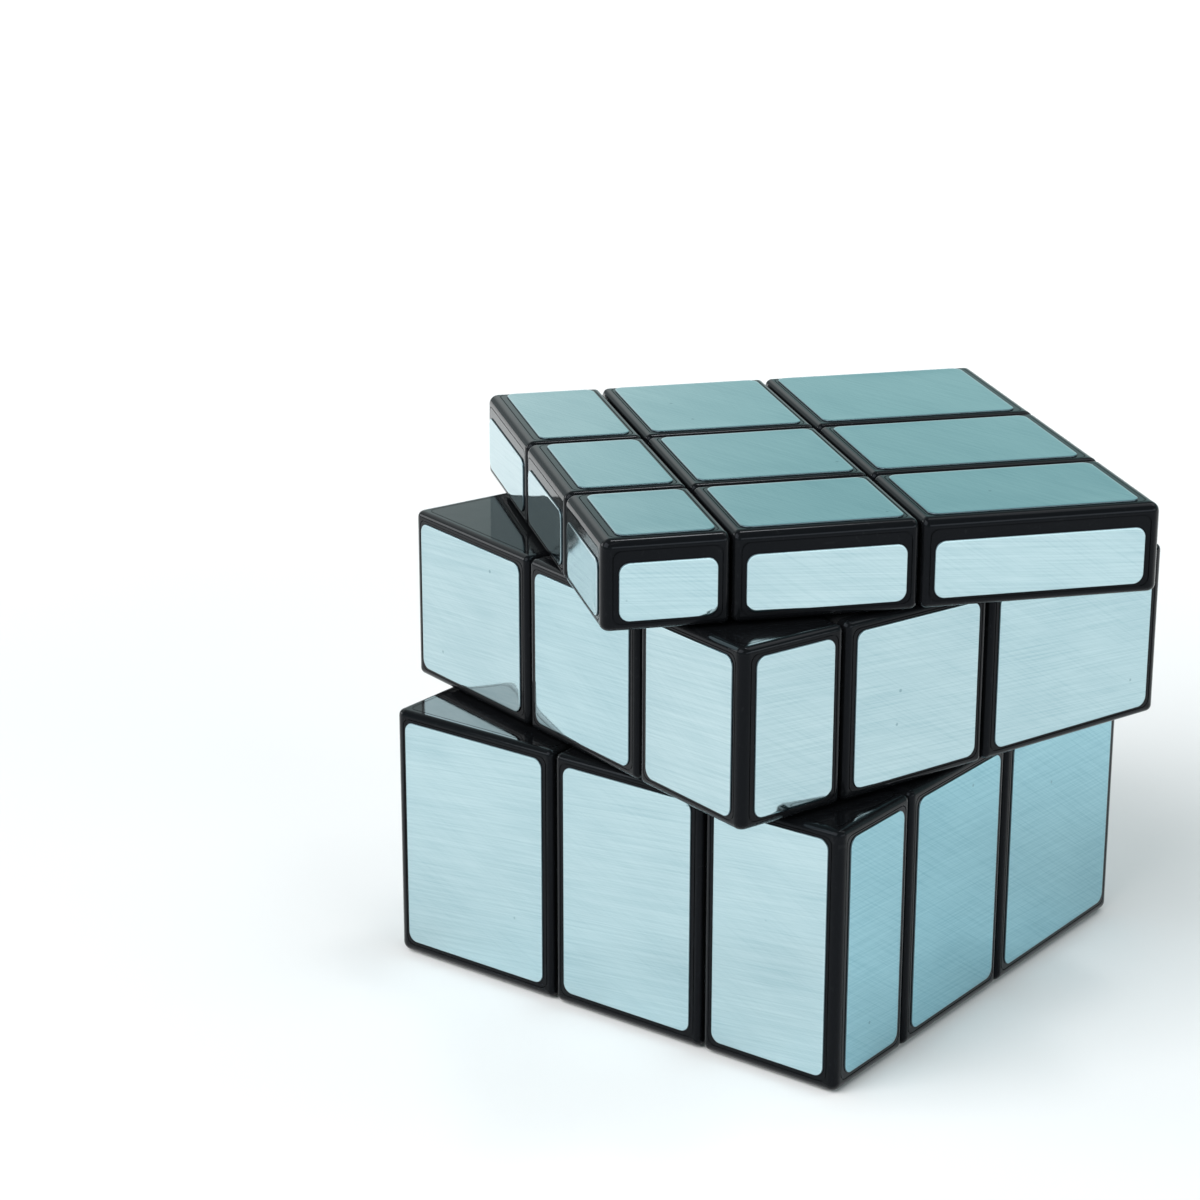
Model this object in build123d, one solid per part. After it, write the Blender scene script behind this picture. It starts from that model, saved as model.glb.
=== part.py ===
from build123d import *
import os

# Mirror block cube: a 3 x 3 x 3 twisting puzzle whose blocks differ in thickness instead of colour.
# The cube is stored part-way through a turn: the three horizontal layers stand at their own angles.
# Millimetres. +Z is up and is the axis that all three layers turn about. The origin is where that
# axis meets the plane the cube stands on. The bottom layer is square with X and Y.
# left = -X, right = +X, front = -Y, back = +Y.

# ---- Driving dimensions -------------------------------------------------------------------------
HALF_SLAB = 9.5  # half the thickness of the middle slab on every axis
OUTER_PLANES = {  # distance of each face, over its foil, from the centre of the mechanism
    "left": 31.0,
    "right": 26.0,
    "front": 22.5,
    "back": 34.5,
    "bottom": 38.0,
    "top": 19.0,
}
LAYER_ANGLES = {"bottom": 0.0, "middle": -16.6, "top": -40.0}  # degrees about +Z

FOIL = 0.15  # thickness of a foil tile
FOIL_CORNER_R = 1.1
GAP = 0.3  # between neighbouring blocks
WALL = 1.4  # of the hollow blocks
OUTER_EDGE_R = 1.0  # rounding along the cube's own edges
CUT_EDGE_R = 0.7  # rounding along the edges beside the cuts
SEAM_OFFSET = 0.04  # from the end of the rounding to the fine panel line around each face
SEAM_WIDTH = 0.1
SEAM_DEPTH = 0.12
SEAM_CORNER_R = 0.9

# Distances from a foil tile's rim to the edge of the slab it sits in
RIM_AT_CUT = 1.4  # beside the vertical cuts of the four sides
RIM_AT_LAYER = 1.2  # beside the cuts between layers, and beside every cut of the top and bottom
RIM_SIDES = {"X": 1.55, "Y": 1.8}  # at the cube's upright edges, measured along X or Y
RIM_ENDS = {"X": 1.35, "Y": 1.9}  # at the rims of the top and bottom faces
RIM_TOP = 2.4  # under the cube's top edges
RIM_BOTTOM = 1.7  # above its bottom edges

# ---- Hidden mechanism ---------------------------------------------------------------------------
TRACK_R = 19.0  # the feet run inside this sphere and the shells stop outside it
TRACK_GAP = 0.15  # clearance of each side from the track
CUT_INSIDE = 7.0  # where the cuts lie inside the track
FOOT_INNER_R = 12.3
CORE_BALL_R = 8.5
CORE_ARM_R = 4.0
CORE_REACH = 9.5  # height of the core's arms
BODY_FLOOR = 9.8  # underside of a sprung centre body
FLOOR_THICKNESS = 1.8
SCREW_R = 1.25
SCREW_CLEARANCE = 0.08
SCREW_FOOT = 3.5  # where a screw ends inside the core
HEAD_R = 2.9
HEAD_HEIGHT = 1.7
HEAD_EDGE_R = 0.7
RECESS_LENGTH = 3.0  # of each arm of the cross in the head
RECESS_WIDTH = 0.7
WASHER_R = 3.0
WASHER_THICKNESS = 0.5
SEAT_GAP = 0.05  # running gap above and below each spring and washer
SPRING_LENGTH = 2.55
SPRING_R = 2.3  # mean radius of the coil
SPRING_WIRE_R = 0.28
SPRING_TURNS = 2.5
CAP_THICKNESS = 1.6
THIN_CAP_SEAT = 17.0  # where the cap of the thinnest centre sits on its body
WIDE_WELL_FLOOR = 21.5
EDGE_PEG = (11.5, 16.5)  # square peg of an edge foot, along both of its outward axes
EDGE_PEG_HALF_LENGTH = 3.5
CORNER_PEG_R = 3.0
CORNER_PEG_SPAN = (15.0, 24.5)  # from and to, along the corner's diagonal

CENTRE_HEIGHT = OUTER_PLANES["bottom"]
BIG = 200.0  # longer than anything in the cube
TOUCHING = 1e-4  # two places closer than this are the same place

AXES = "XYZ"
SIDE_OF = {
    ("X", -1): "left",
    ("X", 1): "right",
    ("Y", -1): "front",
    ("Y", 1): "back",
    ("Z", -1): "bottom",
    ("Z", 1): "top",
}
LAYER_NAMES = {-1: "bottom", 0: "middle", 1: "top"}
STEPS = (-1, 0, 1)


# ---- Small helpers ------------------------------------------------------------------------------
def box_between(low, high):
    """A box from its lowest to its highest corner."""
    size = [b - a for a, b in zip(low, high)]
    centre = [(a + b) / 2 for a, b in zip(low, high)]
    return Pos(*centre) * Box(*size)


def slab(axis, step):
    """The stretch of an axis that block index -1, 0 or 1 takes up, out to the foil's face."""
    if step == 0:
        return (-HALF_SLAB, HALF_SLAB)
    if step > 0:
        return (HALF_SLAB, OUTER_PLANES[SIDE_OF[axis, 1]])
    return (-OUTER_PLANES[SIDE_OF[axis, -1]], -HALF_SLAB)


def block_limits(index, inset=0.0):
    """Lowest and highest corner of a block's plastic, optionally inset by a wall."""
    low, high = [], []
    for axis, step in zip(AXES, index):
        start, end = slab(axis, step)
        low.append(start + (FOIL if step < 0 else GAP / 2) + inset)
        high.append(end - (FOIL if step > 0 else GAP / 2) - inset)
    return low, high


def inner_limits(index, edge, reach):
    """A box inside the track: from the inner cuts outwards to reach, for the steps in index."""
    low, high = [], []
    for step in index:
        low.append(-reach if step < 0 else (edge if step > 0 else -edge + GAP))
        high.append(reach if step > 0 else (-edge if step < 0 else edge - GAP))
    return low, high


def place(layer, solid):
    """Put a solid, made about the centre of the mechanism, into its layer of the standing cube."""
    return Pos(0, 0, CENTRE_HEIGHT) * Rot(0, 0, LAYER_ANGLES[layer]) * solid


# ---- Corner and edge blocks ---------------------------------------------------------------------
def foot(index):
    """The hooked foot of a corner or edge block, with the peg that plugs into its shell."""
    low, high = inner_limits(index, CUT_INSIDE + GAP / 2, BIG)
    runner = box_between(low, high) & Sphere(TRACK_R - TRACK_GAP)
    runner = runner - Sphere(FOOT_INNER_R)
    return runner + peg(index)


def peg(index):
    """The square peg of an edge foot, or the round peg of a corner foot."""
    if 0 in index:
        low, high = [], []
        for step in index:
            ends = sorted(step * reach for reach in EDGE_PEG)
            low.append(ends[0] if step else -EDGE_PEG_HALF_LENGTH)
            high.append(ends[1] if step else EDGE_PEG_HALF_LENGTH)
        return box_between(low, high)
    start, end = CORNER_PEG_SPAN
    diagonal = Vector(*index).normalized()
    rod = Plane(origin=diagonal * start, z_dir=diagonal) * extrude(Circle(CORNER_PEG_R), end - start)
    low, high = inner_limits(index, HALF_SLAB + GAP / 2, BIG)
    return rod & box_between(low, high)


def edge_rounding(step, end):
    """The rounding at the low or high end of a block: larger where it is the cube's own face."""
    return OUTER_EDGE_R if step == end else CUT_EDGE_R


def on_plane(edge, axis_number, height):
    """Whether an edge lies in a plane square to an axis."""
    return all(abs(tuple(edge @ at)[axis_number] - height) < TOUCHING for at in (0, 0.5, 1))


def rounded_block(index):
    """A block rounded along all its edges, with larger rounding along the cube's own edges."""
    low, high = block_limits(index)
    outer_planes, cut_planes = [], []
    for number, step in enumerate(index):
        (outer_planes if step == -1 else cut_planes).append((number, low[number]))
        (outer_planes if step == 1 else cut_planes).append((number, high[number]))
    block = box_between(low, high)
    own = [e for e in block.edges() if sum(on_plane(e, *plane) for plane in outer_planes) == 2]
    if own:
        block = fillet(own, OUTER_EDGE_R)
    beside_cuts = [e for e in block.edges() if any(on_plane(e, *plane) for plane in cut_planes)]
    return fillet(beside_cuts, CUT_EDGE_R)


def seam(low, high, insets, normal, side):
    """The fine panel line around one face of a block, as the solid ring that is cut away."""
    rings = []
    for extra in (SEAM_OFFSET, SEAM_OFFSET + SEAM_WIDTH):
        start = [a + inset[0] + extra for a, inset in zip(low, insets)]
        stop = [b - inset[1] - extra for b, inset in zip(high, insets)]
        face = high[normal] if side > 0 else low[normal]
        start[normal] = face - SEAM_DEPTH
        stop[normal] = face + SEAM_DEPTH
        ring = box_between(start, stop)
        upright_edges = ring.edges().filter_by((Axis.X, Axis.Y, Axis.Z)[normal])
        rings.append(fillet(upright_edges, SEAM_CORNER_R - (extra - SEAM_OFFSET)))
    return rings[0] - rings[1]


def shell(index):
    """The hollow outer shell of a corner or edge block."""
    low, high = block_limits(index)
    insets = [(edge_rounding(step, -1), edge_rounding(step, 1)) for step in index]
    block = rounded_block(index)
    for normal in range(3):
        for side in (-1, 1):
            block = block - seam(low, high, insets, normal, side)
    block = block - Sphere(TRACK_R + TRACK_GAP)
    cavity = box_between(*block_limits(index, WALL)) - Sphere(TRACK_R + TRACK_GAP + WALL)
    return block - cavity - peg(index)


# ---- Face centres -------------------------------------------------------------------------------
def face_turn(axis, side):
    """The rotation that takes a centre built along +Z to its own face."""
    if axis == "X":
        return Rot(0, 90 * side, 0)
    if axis == "Y":
        return Rot(-90 * side, 0, 0)
    return Rot(0, 0 if side > 0 else 180, 0)


def square_post(half_width, bottom, top):
    """An upright square post about the Z axis."""
    return box_between((-half_width, -half_width, bottom), (half_width, half_width, top))


def rounded_tile(half_width, bottom, top):
    """A square tile with rounded upright edges, a rounded upper rim and a panel line."""
    tile = square_post(half_width, bottom, top)
    tile = fillet(tile.edges().filter_by(Axis.Z), CUT_EDGE_R)
    tile = fillet(tile.edges().group_by(Axis.Z)[-1], CUT_EDGE_R)
    insets = [(CUT_EDGE_R, CUT_EDGE_R)] * 3
    low = (-half_width, -half_width, bottom)
    high = (half_width, half_width, top)
    return tile - seam(low, high, insets, AXES.index("Z"), 1)


STEM = CUT_INSIDE - GAP / 2
TILE = HALF_SLAB - GAP / 2


def is_thin(outer):
    """The thinnest centre has no room for a box above the track, so its cap has a skirt instead."""
    return outer - FOIL - CAP_THICKNESS < TRACK_R


def seat_height(outer):
    """Where a centre's cap sits on its body, for a face at this distance."""
    return THIN_CAP_SEAT if is_thin(outer) else outer - FOIL - CAP_THICKNESS


def centre_body(outer):
    """The sprung square that a screw and spring hold on the core, built along +Z."""
    seat = seat_height(outer)
    body = square_post(STEM, BODY_FLOOR, seat)
    if not is_thin(outer):
        upper = square_post(TILE, BODY_FLOOR, seat)
        upper = fillet(upper.edges().filter_by(Axis.Z), CUT_EDGE_R)
        body = body + (upper - Sphere(TRACK_R + TRACK_GAP))
        if seat > WIDE_WELL_FLOOR + WALL:
            body = body - square_post(TILE - WALL, WIDE_WELL_FLOOR, BIG)
    body = body - square_post(STEM - WALL, BODY_FLOOR + FLOOR_THICKNESS, BIG)
    return body - Cylinder(SCREW_R + SCREW_CLEARANCE, BIG)


def centre_cap(outer):
    """The square cap over the screw, built along +Z."""
    top = outer - FOIL
    if is_thin(outer):
        tile = rounded_tile(TILE, CUT_INSIDE, top)
        around_stem = Sphere(TRACK_R + TRACK_GAP) - square_post(STEM, -BIG, BIG)
        return tile - around_stem - square_post(STEM, 0, THIN_CAP_SEAT)
    seat = seat_height(outer)
    well = STEM - WALL
    if seat > WIDE_WELL_FLOOR + WALL:
        well = TILE - WALL
    rim = square_post(well, seat - WALL, seat) - square_post(well - WALL, seat - WALL, seat)
    return rounded_tile(TILE, seat, top) + rim


# ---- Core, screws, washers and springs ----------------------------------------------------------
SPRING_SEAT = BODY_FLOOR + FLOOR_THICKNESS
WASHER_SEAT = SPRING_SEAT + SPRING_LENGTH + 2 * SEAT_GAP
HEAD_SEAT = WASHER_SEAT + WASHER_THICKNESS + SEAT_GAP
FACES = [(axis, side) for axis in AXES for side in (-1, 1)]
SIDE_FACES = [face for face in FACES if face[0] != "Z"]


def core():
    """A ball with six arms, each bored for its screw."""
    body = Sphere(CORE_BALL_R)
    for axis, side in FACES:
        body = body + face_turn(axis, side) * upright(CORE_ARM_R, 0, CORE_REACH)
    for axis, side in FACES:
        body = body - face_turn(axis, side) * upright(SCREW_R, SCREW_FOOT, BIG)
    return body


def upright(radius, bottom, top):
    """A round bar about the Z axis."""
    return Pos(0, 0, (bottom + top) / 2) * Cylinder(radius, top - bottom)


def screw():
    """A pan-head tension screw with a cross recess, built along +Z."""
    head = upright(HEAD_R, HEAD_SEAT, HEAD_SEAT + HEAD_HEIGHT)
    head = fillet(head.edges().group_by(Axis.Z)[-1], HEAD_EDGE_R)
    recess_floor = HEAD_SEAT + HEAD_HEIGHT / 2
    for length, width in ((RECESS_LENGTH, RECESS_WIDTH), (RECESS_WIDTH, RECESS_LENGTH)):
        head = head - box_between(
            (-length / 2, -width / 2, recess_floor), (length / 2, width / 2, BIG)
        )
    return upright(SCREW_R, SCREW_FOOT, HEAD_SEAT) + head


def washer():
    """The washer under a screw head, built along +Z."""
    ring = upright(WASHER_R, WASHER_SEAT, WASHER_SEAT + WASHER_THICKNESS)
    return ring - Cylinder(SCREW_R + SCREW_CLEARANCE, BIG)


def spring():
    """The short compression spring around a screw, built along +Z."""
    rise = SPRING_LENGTH - 2 * SPRING_WIRE_R
    coil = Helix(pitch=rise / SPRING_TURNS, height=rise, radius=SPRING_R)
    wire = Plane(origin=coil @ 0, z_dir=coil % 0) * Circle(SPRING_WIRE_R)
    bottom = SPRING_SEAT + SEAT_GAP + SPRING_WIRE_R
    return Pos(0, 0, bottom) * sweep(wire, path=coil)


# ---- Foil tiles ---------------------------------------------------------------------------------
def rim(face_axis, axis, step, end):
    """How far a tile's rim stays from its slab's edge, along an axis, at its low or high end."""
    outermost = step == end
    if axis == "Z":
        if not outermost:
            return RIM_AT_LAYER
        return RIM_TOP if end > 0 else RIM_BOTTOM
    if face_axis == "Z":
        return RIM_ENDS[axis] if outermost else RIM_AT_LAYER
    return RIM_SIDES[axis] if outermost else RIM_AT_CUT


def foil_tile(face_axis, side, index):
    """The foil on one block of one face."""
    low, high = [], []
    for axis, step in zip(AXES, index):
        start, end = slab(axis, step)
        if axis == face_axis:
            low.append(end - FOIL if side > 0 else start)
            high.append(end if side > 0 else start + FOIL)
        else:
            low.append(start + rim(face_axis, axis, step, -1))
            high.append(end - rim(face_axis, axis, step, 1))
    tile = box_between(low, high)
    normal = {"X": Axis.X, "Y": Axis.Y, "Z": Axis.Z}[face_axis]
    return fillet(tile.edges().filter_by(normal), FOIL_CORNER_R)


def foil_tiles(face_axis, side, layer_step):
    """All the tiles of one face that belong to one layer."""
    tiles = []
    for index in BLOCKS:
        on_face = index[AXES.index(face_axis)] == side
        if on_face and index[2] == layer_step:
            tiles.append(foil_tile(face_axis, side, index))
    return tiles


# ---- The whole cube -----------------------------------------------------------------------------
BLOCKS = [(i, j, k) for k in STEPS for j in STEPS for i in STEPS if (i, j, k) != (0, 0, 0)]


def block_name(index):
    """A block's name: its kind, its layer and the sides it shows."""
    zeros = index.count(0)
    kind = {0: "corner", 1: "edge", 2: "centre"}[zeros]
    sides = [SIDE_OF[axis, step] for axis, step in zip("ZXY", (index[2], index[0], index[1])) if step]
    return "_".join([kind] + sides)


def moved_to_layer(layer, solids):
    """Several separate solids of one layer, as one group."""
    return Compound(children=[place(layer, solid) for solid in solids])


def build_nodes():
    """Every node of the cube by name."""
    nodes = {}
    feet = {}
    for index in BLOCKS:
        name = block_name(index)
        layer = LAYER_NAMES[index[2]]
        zeros = index.count(0)
        if zeros == 2:
            axis = AXES[[step != 0 for step in index].index(True)]
            side = sum(index)
            outer = OUTER_PLANES[SIDE_OF[axis, side]]
            turn = face_turn(axis, side)
            nodes[name + "_body"] = place(layer, turn * centre_body(outer))
            nodes[name + "_cap"] = place(layer, turn * centre_cap(outer))
            continue
        nodes[name + "_shell"] = place(layer, shell(index))
        kind = "edge" if zeros else "corner"
        feet.setdefault(f"{layer}_{kind}_feet", []).append(place(layer, foot(index)))
    for name, solids in feet.items():
        nodes[name] = Compound(children=solids)

    nodes["core"] = place("middle", core())
    turns = [face_turn(axis, side) for axis, side in FACES]
    side_turns = [face_turn(axis, side) for axis, side in SIDE_FACES]
    nodes["tension_screws"] = moved_to_layer("middle", [turn * screw() for turn in turns])
    nodes["side_washers"] = moved_to_layer("middle", [turn * washer() for turn in side_turns])
    nodes["side_springs"] = moved_to_layer("middle", [turn * spring() for turn in side_turns])
    for name, side in (("lower", -1), ("upper", 1)):
        turn = face_turn("Z", side)
        nodes[name + "_washer"] = place("middle", turn * washer())
        nodes[name + "_spring"] = place("middle", turn * spring())

    nodes["top_face_foils"] = moved_to_layer("top", foil_tiles("Z", 1, 1))
    nodes["bottom_face_foils"] = moved_to_layer("bottom", foil_tiles("Z", -1, -1))
    for step, layer in LAYER_NAMES.items():
        for axis, side in SIDE_FACES:
            name = f"{layer}_layer_{SIDE_OF[axis, side]}_foils"
            nodes[name] = moved_to_layer(layer, foil_tiles(axis, side, step))
    return nodes


os.makedirs("parts", exist_ok=True)
for node_name, shape in build_nodes().items():
    export_step(shape, f"parts/{node_name}.step")
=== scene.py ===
import math
import random

import bmesh
import bpy
import numpy as np
from mathutils import Matrix, Vector, noise


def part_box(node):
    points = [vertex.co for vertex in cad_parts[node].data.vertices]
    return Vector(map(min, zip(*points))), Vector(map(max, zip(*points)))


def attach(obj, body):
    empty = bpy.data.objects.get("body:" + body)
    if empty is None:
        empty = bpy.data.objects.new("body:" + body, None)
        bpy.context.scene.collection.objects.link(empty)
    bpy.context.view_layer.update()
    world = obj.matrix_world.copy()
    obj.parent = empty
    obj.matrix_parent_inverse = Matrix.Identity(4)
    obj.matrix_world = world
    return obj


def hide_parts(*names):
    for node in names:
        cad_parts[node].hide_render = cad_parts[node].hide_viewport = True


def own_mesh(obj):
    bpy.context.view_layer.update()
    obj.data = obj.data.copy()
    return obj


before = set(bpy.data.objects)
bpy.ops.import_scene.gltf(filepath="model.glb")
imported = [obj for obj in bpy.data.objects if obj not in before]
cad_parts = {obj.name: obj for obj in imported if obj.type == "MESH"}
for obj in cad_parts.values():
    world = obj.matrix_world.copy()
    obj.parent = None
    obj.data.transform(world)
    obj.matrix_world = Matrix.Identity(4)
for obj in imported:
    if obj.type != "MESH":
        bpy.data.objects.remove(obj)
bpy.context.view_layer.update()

MM = 0.001
LAYERS = ("bottom", "middle", "top")
SIDES = ("left", "right", "front", "back")
SEED = 7


# ---------------------------------------------------------------- camera
# The camera looks at the mechanism's centre from the front right and a little above, and is
# moved sideways and up by a few millimetres in its own plane, which keeps its shift at zero.
AZIMUTH = math.radians(37.067)
ELEVATION = math.radians(18.544)
DISTANCE = 324.2 * MM
SIDESTEP = -16.158 * MM
UPSTEP = 2.777 * MM
SENSOR_MM = 36.0
LENS_MM = 91.89
CLIP_START = 10 * MM
CLIP_END = 50.0

lowest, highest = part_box("core")
centre = (lowest + highest) / 2
right = Vector((math.cos(AZIMUTH), math.sin(AZIMUTH), 0))
back = Vector((
    math.sin(AZIMUTH) * math.cos(ELEVATION),
    -math.cos(AZIMUTH) * math.cos(ELEVATION),
    math.sin(ELEVATION),
))
up = back.cross(right)


def axes_matrix(x, y, z, origin):
    """The 4x4 matrix whose axes are x, y and z and whose origin is the given point."""
    m = Matrix((x, y, z)).transposed().to_4x4()
    m.translation = origin
    return m


def new_object(name, data):
    """A new object with the given data, in the scene."""
    made = bpy.data.objects.new(name, data)
    bpy.context.scene.collection.objects.link(made)
    return made


camera_data = bpy.data.cameras.new("camera")
camera_data.sensor_width = SENSOR_MM
camera_data.lens = LENS_MM
camera_data.clip_start = CLIP_START
camera_data.clip_end = CLIP_END
camera = new_object("camera", camera_data)
viewpoint = centre + back * DISTANCE + right * SIDESTEP + up * UPSTEP
camera.matrix_world = axes_matrix(right, up, back, viewpoint)
bpy.context.scene.camera = camera
bpy.context.scene.view_settings.view_transform = "Standard"


# ---------------------------------------------------------------- node helpers
class Tree:
    """A node tree with short calls for adding nodes. An input given as a socket is linked."""

    def __init__(self, tree):
        self.tree = tree
        tree.nodes.clear()

    def add(self, kind, inputs=None, **settings):
        n = self.tree.nodes.new("ShaderNode" + kind)
        for key, value in settings.items():
            setattr(n, key, value)
        for key, value in (inputs or {}).items():
            if isinstance(value, bpy.types.NodeSocket):
                self.tree.links.new(value, n.inputs[key])
            else:
                n.inputs[key].default_value = value
        return n

    def math(self, operation, a, b=0.0, clamp=False):
        return self.add("Math", {0: a, 1: b}, operation=operation, use_clamp=clamp).outputs[0]

    def span(self, value, low, high, to_low=0.0, to_high=1.0):
        """Maps value from low..high to to_low..to_high, clamped and smoothed."""
        inputs = {"Value": value, "From Min": low, "From Max": high,
                  "To Min": to_low, "To Max": to_high}
        return self.add("MapRange", inputs, interpolation_type="SMOOTHSTEP").outputs["Result"]

    def stretched(self, vector, turn, scale, detail=2.0, rough=0.5, offset=0.0):
        """Noise from 0 to 1 on vector, turned about Z by some degrees and scaled per axis."""
        turned = self.add("VectorRotate", {"Vector": vector, "Angle": math.radians(turn)},
                          rotation_type="Z_AXIS")
        placed = self.add("Mapping", {"Vector": turned.outputs[0],
                                      "Location": (offset, offset, offset), "Scale": scale})
        inputs = {"Vector": placed.outputs[0], "Scale": 1.0, "Detail": detail, "Roughness": rough}
        return self.add("TexNoise", inputs).outputs["Fac"]

    def mix(self, share, a, b, blend="MIX"):
        """The colour a at share 0, and b, or a blended with b, at share 1.

        Inputs 6 and 7 and output 2 are the Mix node's sockets for colours.
        """
        n = self.add("Mix", {"Factor": share}, data_type="RGBA", blend_type=blend)
        for index, value in ((6, a), (7, b)):
            if isinstance(value, bpy.types.NodeSocket):
                self.tree.links.new(value, n.inputs[index])
            else:
                n.inputs[index].default_value = (*value, 1.0)
        return n.outputs[2]

    def surface(self, **inputs):
        """A Principled surface as the output. Underscores in the names stand for spaces."""
        inputs = {k.replace("_", " "): (*v, 1.0) if isinstance(v, tuple) and len(v) == 3 else v
                  for k, v in inputs.items()}
        shader = self.add("BsdfPrincipled", inputs)
        self.add("OutputMaterial", {"Surface": shader.outputs[0]})


def new_material(name):
    material = bpy.data.materials.new(name)
    material.use_nodes = True
    return material, Tree(material.node_tree)


# ---------------------------------------------------------------- materials
# Lengths in the patterns are in millimetres: object coordinates are scaled up from metres.
FOIL_TINT = (0.560, 0.712, 0.745)
FOIL_SHADE = (0.370, 0.535, 0.585)
FOIL_SPECK = (0.140, 0.240, 0.280)
FOIL_RIM_PAINTED_SHADE = (0.090, 0.130, 0.150)
FOIL_DEEP_AND_SHADED = (0.560, 0.860, 0.940)  # multiplies the colour: a random deeper blue, and painted shade on the bottom right tiles
BLACK = (0.0045, 0.0048, 0.0056)
BLACK_WORN = (0.016, 0.017, 0.018)
BLACK_FACING = (0.150, 0.165, 0.190)
INNER_BLACK = (0.007, 0.007, 0.008)
INNER_DUST = (0.020, 0.019, 0.018)
STEEL = (0.560, 0.555, 0.545)
STEEL_STAIN = (0.400, 0.390, 0.370)


def millimetres(tree):
    """Object coordinates in millimetres."""
    coords = tree.add("TexCoord").outputs["Object"]
    return tree.add("VectorMath", {0: coords, "Scale": 1 / MM}, operation="SCALE").outputs[0]


def foil_material():
    """Mirror foil, drawn through a wire brush: long fine streaks, crossed by a second set."""
    material, t = new_material("brushed_foil")
    place = t.add("UVMap", uv_map="brush_mm").outputs[0]
    cross = t.add("Attribute", attribute_name="cross").outputs["Fac"]
    rim = t.add("Attribute", attribute_name="rim").outputs["Fac"]
    tone_and_painted_shade = t.add("Attribute", attribute_name="tone_and_painted_shade").outputs["Fac"]
    long_streaks = t.stretched(place, 0, (0.055, 3.9, 1), detail=4, rough=0.75)
    hair_streaks = t.stretched(place, 1, (0.10, 9.0, 1), detail=2, rough=0.7, offset=31)
    cross_streaks = t.stretched(place, 31, (0.075, 5.0, 1), detail=4, rough=0.75, offset=57)
    # Soft cloudy patches: they roughen the foil like smudges, and their darkening of its colour is
    # painted reflection, blurred things mirrored in it.
    smudges_and_painted_reflections = t.stretched(place, 11, (0.10, 0.16, 1), detail=2, offset=83)
    main = t.math("ADD", t.math("MULTIPLY", long_streaks, 0.6),
                  t.math("MULTIPLY", hair_streaks, 0.4))
    dark_a = t.span(main, 0.38, 0.64)
    dark_b = t.math("MULTIPLY", t.span(cross_streaks, 0.42, 0.68), cross)
    dark = t.math("ADD", t.math("MULTIPLY", dark_a, 0.55), t.math("MULTIPLY", dark_b, 0.45))
    # The soft patches add painted reflection to the darkening.
    dark = t.math("ADD", dark, t.span(smudges_and_painted_reflections, 0.35, 0.7, 0.0, 0.16), clamp=True)
    specks = t.add("TexVoronoi", {"Vector": place, "Scale": 0.22, "Randomness": 1.0})
    speck = t.span(specks.outputs["Distance"], 0.055, 0.025)
    colour = t.mix(dark, FOIL_TINT, FOIL_SHADE)
    # Painted shade: the tone darkens and blues the foil, a random little on every tile and strongly
    # on the bottom layer's right tiles, where it stands for their reflection of the floor's shadow.
    colour = t.mix(tone_and_painted_shade, colour, FOIL_DEEP_AND_SHADED, blend="MULTIPLY")
    colour = t.mix(t.math("MULTIPLY", speck, 0.55), colour, FOIL_SPECK)
    # Painted shade: the foil's cut edge is coloured dark, standing for the shadow of its thickness.
    colour = t.mix(rim, colour, FOIL_RIM_PAINTED_SHADE)
    rough = t.math("ADD", t.span(main, 0.3, 0.7, 0.035, 0.065),
                   t.span(smudges_and_painted_reflections, 0.3, 0.7, 0.0, 0.020))
    rough = t.math("ADD", rough, t.math("MULTIPLY", rim, 0.3))
    height = t.math("ADD", main, t.math("MULTIPLY", t.math("MULTIPLY", cross_streaks, cross), 0.8))
    bump = t.add("Bump", {"Height": height, "Strength": 0.35, "Distance": 0.0016 * MM})
    tangent = t.add("Tangent", direction_type="UV_MAP", uv_map="brush_mm")
    t.surface(Base_Color=colour, Metallic=1.0, Roughness=rough, Normal=bump.outputs[0],
              Anisotropic=0.45, Tangent=tangent.outputs[0])
    return material


def gloss_plastic_material():
    """Glossy moulded black plastic with a faint orange peel, hairline scuffs and handling haze."""
    material, t = new_material("black_plastic")
    place = millimetres(t)
    peel = t.stretched(place, 0, (0.45, 0.45, 0.45), detail=2)
    haze = t.stretched(place, 24, (0.09, 0.13, 0.11), detail=4, rough=0.6, offset=19)
    scuff_a = t.span(t.stretched(place, 28, (0.10, 3.2, 1.4), detail=3, offset=41), 0.62, 0.76)
    scuff_b = t.span(t.stretched(place, -57, (0.12, 3.6, 1.6), detail=3, offset=67), 0.64, 0.78)
    scuffs = t.math("MAXIMUM", scuff_a, scuff_b)
    convex = t.span(t.add("NewGeometry").outputs["Pointiness"], 0.53, 0.62)
    worn = t.math("MULTIPLY", convex, t.span(haze, 0.35, 0.65), clamp=True)
    dull = t.math("ADD", t.math("MULTIPLY", scuffs, 0.35), t.math("MULTIPLY", worn, 0.25),
                  clamp=True)
    rough = t.math("ADD", t.span(haze, 0.3, 0.7, 0.045, 0.085), t.math("MULTIPLY", dull, 0.18))
    height = t.math("ADD", peel, t.math("MULTIPLY", scuffs, -0.05))
    bump = t.add("Bump", {"Height": height, "Strength": 0.25, "Distance": 0.03 * MM})
    t.surface(Base_Color=t.mix(dull, BLACK, BLACK_WORN), Roughness=rough, Normal=bump.outputs[0],
              IOR=1.42, Specular_Tint=BLACK_FACING)
    return material


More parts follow.
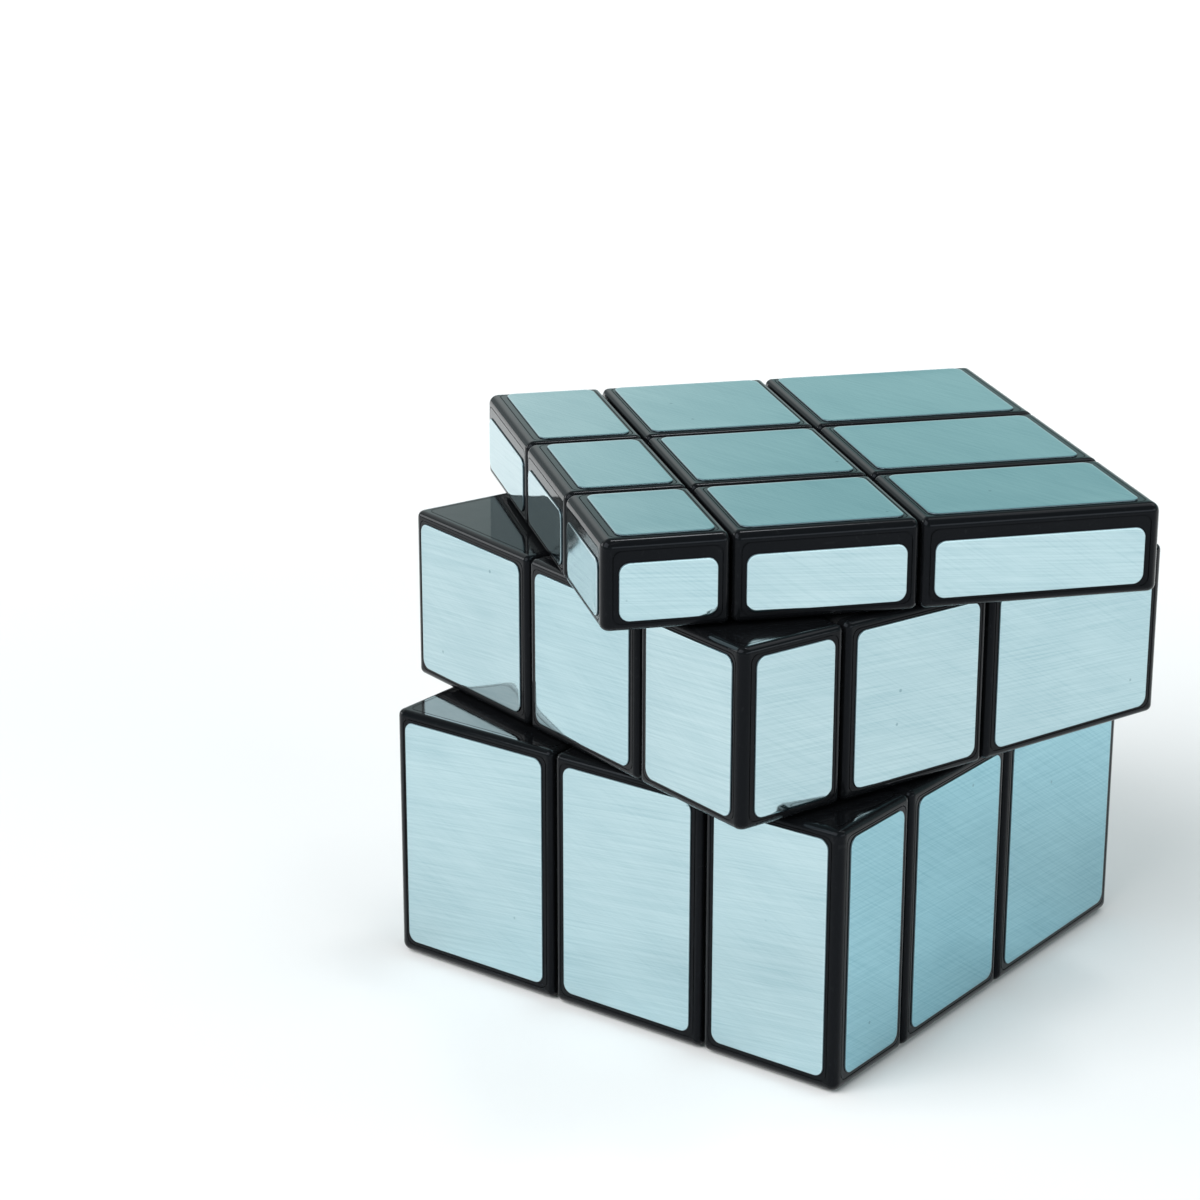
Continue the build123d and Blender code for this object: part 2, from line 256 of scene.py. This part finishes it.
def inner_plastic_material():
    """The mechanism's unpolished black plastic, with rubbing marks and a trace of dust."""
    material, t = new_material("inner_plastic")
    place = millimetres(t)
    grain = t.stretched(place, 0, (5.0, 5.0, 5.0), detail=3)
    haze = t.stretched(place, 15, (0.16, 0.16, 0.16), detail=4, rough=0.6, offset=23)
    rubbed = t.span(t.stretched(place, 40, (0.2, 4.0, 0.2), detail=2, offset=47), 0.6, 0.75)
    dusty = t.math("MULTIPLY", t.span(haze, 0.5, 0.75), t.span(grain, 0.4, 0.7))
    rough = t.math("SUBTRACT", t.span(haze, 0.3, 0.7, 0.36, 0.50), t.math("MULTIPLY", rubbed, 0.10))
    bump = t.add("Bump", {"Height": grain, "Strength": 0.3, "Distance": 0.02 * MM})
    t.surface(Base_Color=t.mix(dusty, INNER_BLACK, INNER_DUST), Roughness=rough,
              Normal=bump.outputs[0])
    return material


def steel_material():
    """Turned and drawn steel of the screws, washers and springs, with oil stains."""
    material, t = new_material("steel")
    place = millimetres(t)
    drawn = t.stretched(place, 12, (0.4, 9.0, 0.4), detail=2)
    stains = t.stretched(place, 0, (0.5, 0.5, 0.5), detail=4, rough=0.6, offset=29)
    rough = t.math("ADD", t.span(drawn, 0.3, 0.7, 0.20, 0.30), t.span(stains, 0.4, 0.7, 0.0, 0.12))
    bump = t.add("Bump", {"Height": drawn, "Strength": 0.3, "Distance": 0.01 * MM})
    t.surface(Base_Color=t.mix(t.span(stains, 0.45, 0.7), STEEL, STEEL_STAIN), Metallic=1.0,
              Roughness=rough, Normal=bump.outputs[0])
    return material


materials = {
    "brushed_foil": foil_material(),
    "black_plastic": gloss_plastic_material(),
    "inner_plastic": inner_plastic_material(),
    "steel": steel_material(),
}
for node_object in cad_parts.values():
    for place_in_list in node_object.material_slots:
        slot_name = place_in_list.material.name.split(".")[0]
        place_in_list.link = "OBJECT"
        place_in_list.material = materials[slot_name]


# ---------------------------------------------------------------- foils
# Each foil tile is a thin plate whose place and size are read from its CAD node. The CAD
# plates are exactly flat. These sag a little between their glued edges and have a soft rim.
RIM = 0.08 * MM
RIM_STEPS = 3
CORNER_STEPS = 6
GRID_STEP = 1.2 * MM
LEAST_CELLS = 4
SAG = 0.035 * MM
SAG_LENGTH = 11 * MM
EDGE_DROP = 0.012 * MM
EDGE_WIDTH = 1.6 * MM
CORNER_RADIUS = 1.1 * MM
WELD_DISTANCE = 0.001 * MM
SHIFT_REACH = 9.0  # how far apart the tiles' sags are drawn from one noise
STREAK_REACH = 900.0  # millimetres over which the tiles' brush marks are drawn from one pattern
STREAK_TURN = {"left": -4, "right": 3, "front": -6, "back": 4, "face": -29}  # degrees
CROSS_STRENGTH = {"left": 0.45, "right": 0.6, "front": 0.4, "back": 0.8, "face": 0.3}
NODE_CROSS_STRENGTH = {"bottom_layer_right_foils": 1.0}  # comes before its side's
# Painted shade: the bottom layer's right tiles get a darker, bluer foil that stands for their
# reflection of the floor's shadow.
NODE_PAINTED_SHADE = {"bottom_layer_right_foils": 0.7}  # the other nodes' is 0
TONE_SPREAD = 0.12  # each tile's tone is raised by up to this much


def islands(mesh):
    """The separate closed solids of a mesh, as arrays of their points. Split corners are welded."""
    b = bmesh.new()
    b.from_mesh(mesh)
    bmesh.ops.remove_doubles(b, verts=b.verts, dist=WELD_DISTANCE)
    unseen = set(b.verts)
    found = []
    while unseen:
        todo = [unseen.pop()]
        group = list(todo)
        while todo:
            for edge in todo.pop().link_edges:
                for v in edge.verts:
                    if v in unseen:
                        unseen.remove(v)
                        todo.append(v)
                        group.append(v)
        found.append(np.array([v.co for v in group]))
    b.free()
    return found


def widest_normal(mesh):
    """The direction that most of a mesh's area faces, pointing away from the cube's centre."""
    areas = {}
    for p in mesh.polygons:
        key = tuple(round(c, 3) for c in p.normal)
        areas[key] = areas.get(key, 0) + p.area
    n = Vector(max(areas, key=areas.get)).normalized()
    middle = sum((v.co for v in mesh.vertices), Vector()) / len(mesh.vertices)
    return n if n.dot(middle - centre) > 0 else -n


def grid_lines(half, radius):
    """Places of the grid lines across a plate: fine in its corners and even between them."""
    straight = half - radius
    count = max(LEAST_CELLS, math.ceil(2 * straight / GRID_STEP))
    inner = np.linspace(-straight, straight, count + 1)
    corner = straight + radius * np.arange(1, CORNER_STEPS + 1) / CORNER_STEPS
    return np.concatenate((-corner[::-1], inner, corner))


def rounded(x, y, half_x, half_y, radius):
    """A point of the full rectangle moved to its place in the one with round corners.

    Returns its x and y and the direction that points outward there, which is all zero away from
    the sides.
    """
    a = max(abs(x) - (half_x - radius), 0.0)
    b = max(abs(y) - (half_y - radius), 0.0)
    if a == 0.0 or b == 0.0:
        outward = (math.copysign(1.0, x) if a > b else 0.0,
                   math.copysign(1.0, y) if b > a else 0.0)
        return x, y, outward
    shrink = max(a, b) / math.hypot(a, b)
    moved_x = math.copysign(half_x - radius + a * shrink, x)
    moved_y = math.copysign(half_y - radius + b * shrink, y)
    outward = (math.copysign(a, x) / math.hypot(a, b), math.copysign(b, y) / math.hypot(a, b))
    return moved_x, moved_y, outward


def plate(name, size, thickness, matrix, seed, cross, tone_and_painted_shade, streak_turn):
    """A foil plate as a closed mesh: a sagging top on a quad grid, a round rim, and a flat back.

    Its UV map is in millimetres along the brush marks. Three attributes of its vertices steer the
    foil's material: rim is 1 on the cut edge, whose dark colour is painted shade of the foil's
    thickness; cross is the strength of the second set of brush marks; and the third gives each tile
    a random deeper blue, plus painted shade on the bottom layer's right tiles: a darker, bluer foil
    that stands for their reflection of the floor's shadow.
    """
    half_x, half_y = size[0] / 2 - RIM, size[1] / 2 - RIM
    radius = CORNER_RADIUS - RIM
    xs, ys = grid_lines(half_x, radius), grid_lines(half_y, radius)
    chance = random.Random(seed)
    shift = Vector([chance.uniform(-SHIFT_REACH, SHIFT_REACH) for _ in range(3)])
    b = bmesh.new()
    uv = b.loops.layers.uv.new("brush_mm")
    on_rim = b.verts.layers.float.new("rim")
    outward = {}
    grid = []
    for x in xs:
        column = []
        for y in ys:
            px, py, away = rounded(x, y, half_x, half_y, radius)
            to_edge = min(half_x - abs(px), half_y - abs(py))
            inside = min(to_edge / EDGE_WIDTH, 1.0)
            swell = noise.noise(Vector((px, py, 0)) / SAG_LENGTH + shift) * 0.5 + 0.5
            sag = SAG * swell * inside * inside * (3 - 2 * inside) + EDGE_DROP * (1 - inside) ** 2
            v = b.verts.new((px, py, thickness - sag))
            outward[v] = Vector((*away, 0))
            column.append(v)
        grid.append(column)
    for i in range(len(xs) - 1):
        for j in range(len(ys) - 1):
            b.faces.new((grid[i][j], grid[i + 1][j], grid[i + 1][j + 1], grid[i][j + 1]))
    last_x, last_y = len(xs) - 1, len(ys) - 1
    ring = [grid[i][0] for i in range(last_x)]
    ring += [grid[last_x][j] for j in range(last_y)]
    ring += [grid[i][last_y] for i in range(last_x, 0, -1)]
    ring += [grid[0][j] for j in range(last_y, 0, -1)]
    starts = [(v.co.copy(), outward[v]) for v in ring]
    steps = [(math.sin(k * math.pi / 2 / RIM_STEPS), 1 - math.cos(k * math.pi / 2 / RIM_STEPS))
             for k in range(1, RIM_STEPS + 1)]
    profile = [(RIM * out, RIM * down) for out, down in steps] + [(RIM, thickness - EDGE_DROP)]
    for out, down in profile:
        lower = [b.verts.new(p + away * out - Vector((0, 0, down))) for p, away in starts]
        for v in lower:
            v[on_rim] = 1.0
        for k in range(len(ring)):
            after = (k + 1) % len(ring)
            b.faces.new((ring[k], lower[k], lower[after], ring[after]))
        ring = lower
    b.faces.new(ring)
    spread = Vector([chance.uniform(0, STREAK_REACH) for _ in range(2)])
    turn = Matrix.Rotation(math.radians(streak_turn), 2)
    for face in b.faces:
        face.smooth = True
        for loop in face.loops:
            loop[uv].uv = turn @ loop.vert.co.xy / MM + spread
    bmesh.ops.recalc_face_normals(b, faces=b.faces)
    b.transform(matrix)
    mesh = bpy.data.meshes.new(name)
    b.to_mesh(mesh)
    b.free()
    for key, value in (("cross", cross), ("tone_and_painted_shade", tone_and_painted_shade + TONE_SPREAD * chance.random())):
        attribute = mesh.attributes.new(key, "FLOAT", "POINT")
        attribute.data.foreach_set("value", np.full(len(mesh.vertices), value, np.float32))
    mesh.materials.append(materials["brushed_foil"])
    return mesh


def add_foils(node_name, body, side, seed):
    """Stands a detailed plate in for each tile of a CAD foil node."""
    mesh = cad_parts[node_name].data
    normal = widest_normal(mesh)
    if side == "face":
        layer = body.split("_")[0]
        across = widest_normal(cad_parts[layer + "_layer_right_foils"].data)
    else:
        across = Vector((0, 0, 1)).cross(normal).normalized()
    along = normal.cross(across)
    turn = np.array((across, along, normal))
    tiles = [points @ turn.T for points in islands(mesh)]
    tiles.sort(key=lambda p: (round(p[:, 1].mean(), 4), round(p[:, 0].mean(), 4)))
    for number, points in enumerate(tiles, 1):
        low, high = points.min(0), points.max(0)
        middle = (low + high) / 2
        origin = across * middle[0] + along * middle[1] + normal * low[2]
        name = node_name.replace("_foils", f"_foil_{number}")
        cross = NODE_CROSS_STRENGTH.get(node_name, CROSS_STRENGTH[side])
        tone_and_painted_shade = NODE_PAINTED_SHADE.get(node_name, 0.0)
        matrix = axes_matrix(across, along, normal, origin)
        data = plate(name, (high - low)[:2], high[2] - low[2], matrix,
                     seed + number, cross, tone_and_painted_shade, STREAK_TURN[side])
        piece = new_object(name, data)
        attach(piece, body)
        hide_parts(node_name)


# The seeds are far enough apart for every tile to have its own.
for layer_index, layer in enumerate(LAYERS):
    for side_index, side in enumerate(SIDES):
        seed = SEED + 100 * layer_index + 10 * side_index
        add_foils(f"{layer}_layer_{side}_foils", layer + "_layer", side, seed)
add_foils("bottom_face_foils", "bottom_layer", "face", SEED + 400)
add_foils("top_face_foils", "top_layer", "face", SEED + 500)


# ---------------------------------------------------------------- springs
# The two springs on the turning axis are coils.
WIRE_RADIUS = 0.28 * MM
COIL_TURNS = 2.5
COIL_STEPS = 100
WIRE_SIDES = 12


def coil_mesh(name, low, high):
    """A round wire wound into a coil that fills the box from low to high."""
    radius = (high.x - low.x) / 2 - WIRE_RADIUS
    rise = high.z - low.z - 2 * WIRE_RADIUS
    start = Vector(((low.x + high.x) / 2, (low.y + high.y) / 2, low.z + WIRE_RADIUS))
    slope = rise / (2 * math.pi * COIL_TURNS * radius)
    around_wire = [2 * math.pi * k / WIRE_SIDES for k in range(WIRE_SIDES)]
    b = bmesh.new()
    rings = []
    for i in range(COIL_STEPS + 1):
        share = i / COIL_STEPS
        a = 2 * math.pi * COIL_TURNS * share
        out = Vector((math.cos(a), math.sin(a), 0))
        across = Vector((-math.sin(a), math.cos(a), slope)).normalized().cross(out)
        at = start + out * radius + Vector((0, 0, rise * share))
        offsets = [(out * math.cos(w) + across * math.sin(w)) * WIRE_RADIUS for w in around_wire]
        rings.append([b.verts.new(at + offset) for offset in offsets])
    for ring, after in zip(rings, rings[1:]):
        for k in range(WIRE_SIDES):
            side = (k + 1) % WIRE_SIDES
            b.faces.new((ring[k], ring[side], after[side], after[k])).smooth = True
    b.faces.new(rings[0])
    b.faces.new(rings[-1])
    bmesh.ops.recalc_face_normals(b, faces=b.faces)
    mesh = bpy.data.meshes.new(name)
    b.to_mesh(mesh)
    b.free()
    mesh.materials.append(materials["steel"])
    return mesh


def add_coil(node_name, body):
    """Stands a coil in for a CAD spring."""
    name = node_name + "_coil"
    low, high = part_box(node_name)
    piece = new_object(name, coil_mesh(name, low, high))
    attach(piece, body)
    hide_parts(node_name)
    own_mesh(piece)


add_coil("lower_spring", "lower_spring_seat")
add_coil("upper_spring", "upper_spring_seat")


# ---------------------------------------------------------------- floor
# A pale floor. It glows faintly away from the cube, and so fades into the white behind it.
FLOOR_SIZE = 60.0
FLOOR_COLOUR = (0.825, 0.800, 0.800)
GLOW_COLOUR = (1.0, 0.93, 0.92)
GLOW = 0.32
GLOW_START, GLOW_FULL = 0.12, 0.50  # metres from the origin

floor_mesh = bpy.data.meshes.new("floor")
half = FLOOR_SIZE / 2
floor_mesh.from_pydata([(-half, -half, 0), (half, -half, 0), (half, half, 0), (-half, half, 0)], [],
                       [(0, 1, 2, 3)])
floor_material, t = new_material("floor")
far = t.add("VectorMath", {0: t.add("TexCoord").outputs["Object"]}, operation="LENGTH")
glow = t.span(far.outputs["Value"], GLOW_START, GLOW_FULL, 0.0, GLOW)
t.surface(Base_Color=FLOOR_COLOUR, Roughness=0.9, Specular_IOR_Level=0.1,
          Emission_Color=GLOW_COLOUR, Emission_Strength=glow)
floor_mesh.materials.append(floor_material)
floor = new_object("floor", floor_mesh)


# ---------------------------------------------------------------- lights
# The room by the sine of the height above the horizon: pale low down, and a dim blue-green above.
# One side of it is a pale wall with a grey middle, whose edges are given by the cosine of the angle
# from PALE_WALL_SIDE. The camera itself sees white behind everything.
ROOM = (
    (0.00, (0.75, 0.82, 0.83)),
    (0.15, (0.57, 0.745, 0.745)),
    (0.25, (0.395, 0.605, 0.61)),
    (0.34, (0.27, 0.465, 0.485)),
    (0.60, (0.20, 0.28, 0.29)),
    (1.00, (0.30, 0.36, 0.37)),
)
PALE_WALL = (0.88, 0.97, 0.97)
PALE_WALL_SIDE = Vector((-0.996, 0.087, 0.0))
PALE_WALL_EDGE, PALE_WALL_FULL = 0.572, 0.765
GREY_WALL = (0.34, 0.40, 0.41)
GREY_WALL_EDGE, GREY_WALL_FULL = 0.80, 0.93
WHITE = (1.0, 1.0, 1.0)


def toward(azimuth, elevation):
    """The direction at an azimuth, 0 being the front, and an elevation, both in degrees."""
    a, e = math.radians(azimuth), math.radians(elevation)
    return Vector((math.sin(a) * math.cos(e), -math.cos(a) * math.cos(e), math.sin(e)))


def softbox(name, direction, distance, width, height, radiance):
    """A rectangular area light that faces the cube's centre and has the given radiance."""
    light = bpy.data.lights.new(name, "AREA")
    light.shape = "RECTANGLE"
    light.size = width
    light.size_y = height
    light.energy = radiance * math.pi * width * height
    lamp = new_object(name, light)
    lamp.location = centre + direction * distance
    lamp.rotation_euler = direction.to_track_quat("Z", "Y").to_euler()


softbox("key", toward(-15, 42), distance=5.0, width=4.4, height=4.0, radiance=4.65)
softbox("left_strip", toward(-72, 18), distance=5.0, width=2.6, height=1.5, radiance=3.8)
softbox("right_strip", toward(86, 19), distance=5.0, width=4.9, height=1.3, radiance=4.2)
softbox("fill", toward(150, 55), distance=5.0, width=3.0, height=3.0, radiance=1.6)
softbox("overhead", toward(180, 73.4), distance=0.9, width=0.12, height=0.10, radiance=20.0)

world = bpy.data.worlds.new("room")
bpy.context.scene.world = world
world.use_nodes = True
t = Tree(world.node_tree)
direction = t.add("TexCoord").outputs["Generated"]
height = t.add("SeparateXYZ", {0: direction}).outputs["Z"]
ramp = t.add("ValToRGB", {"Fac": height})
stops = ramp.color_ramp.elements
while len(stops) < len(ROOM):
    stops.new(0.5)
for stop, (position, colour) in zip(stops, ROOM):
    stop.position = position
    stop.color = (*colour, 1.0)
facing_wall = t.add("VectorMath", {0: direction, 1: PALE_WALL_SIDE}, operation="DOT_PRODUCT")
sideways = facing_wall.outputs["Value"]
wall = t.mix(t.span(sideways, PALE_WALL_EDGE, PALE_WALL_FULL), ramp.outputs[0], PALE_WALL)
wall = t.mix(t.span(sideways, GREY_WALL_EDGE, GREY_WALL_FULL), wall, GREY_WALL)
seen = t.add("LightPath").outputs["Is Camera Ray"]
background = t.add("Background", {"Color": t.mix(seen, wall, WHITE), "Strength": 1.0})
t.add("OutputWorld", {"Surface": background.outputs[0]})
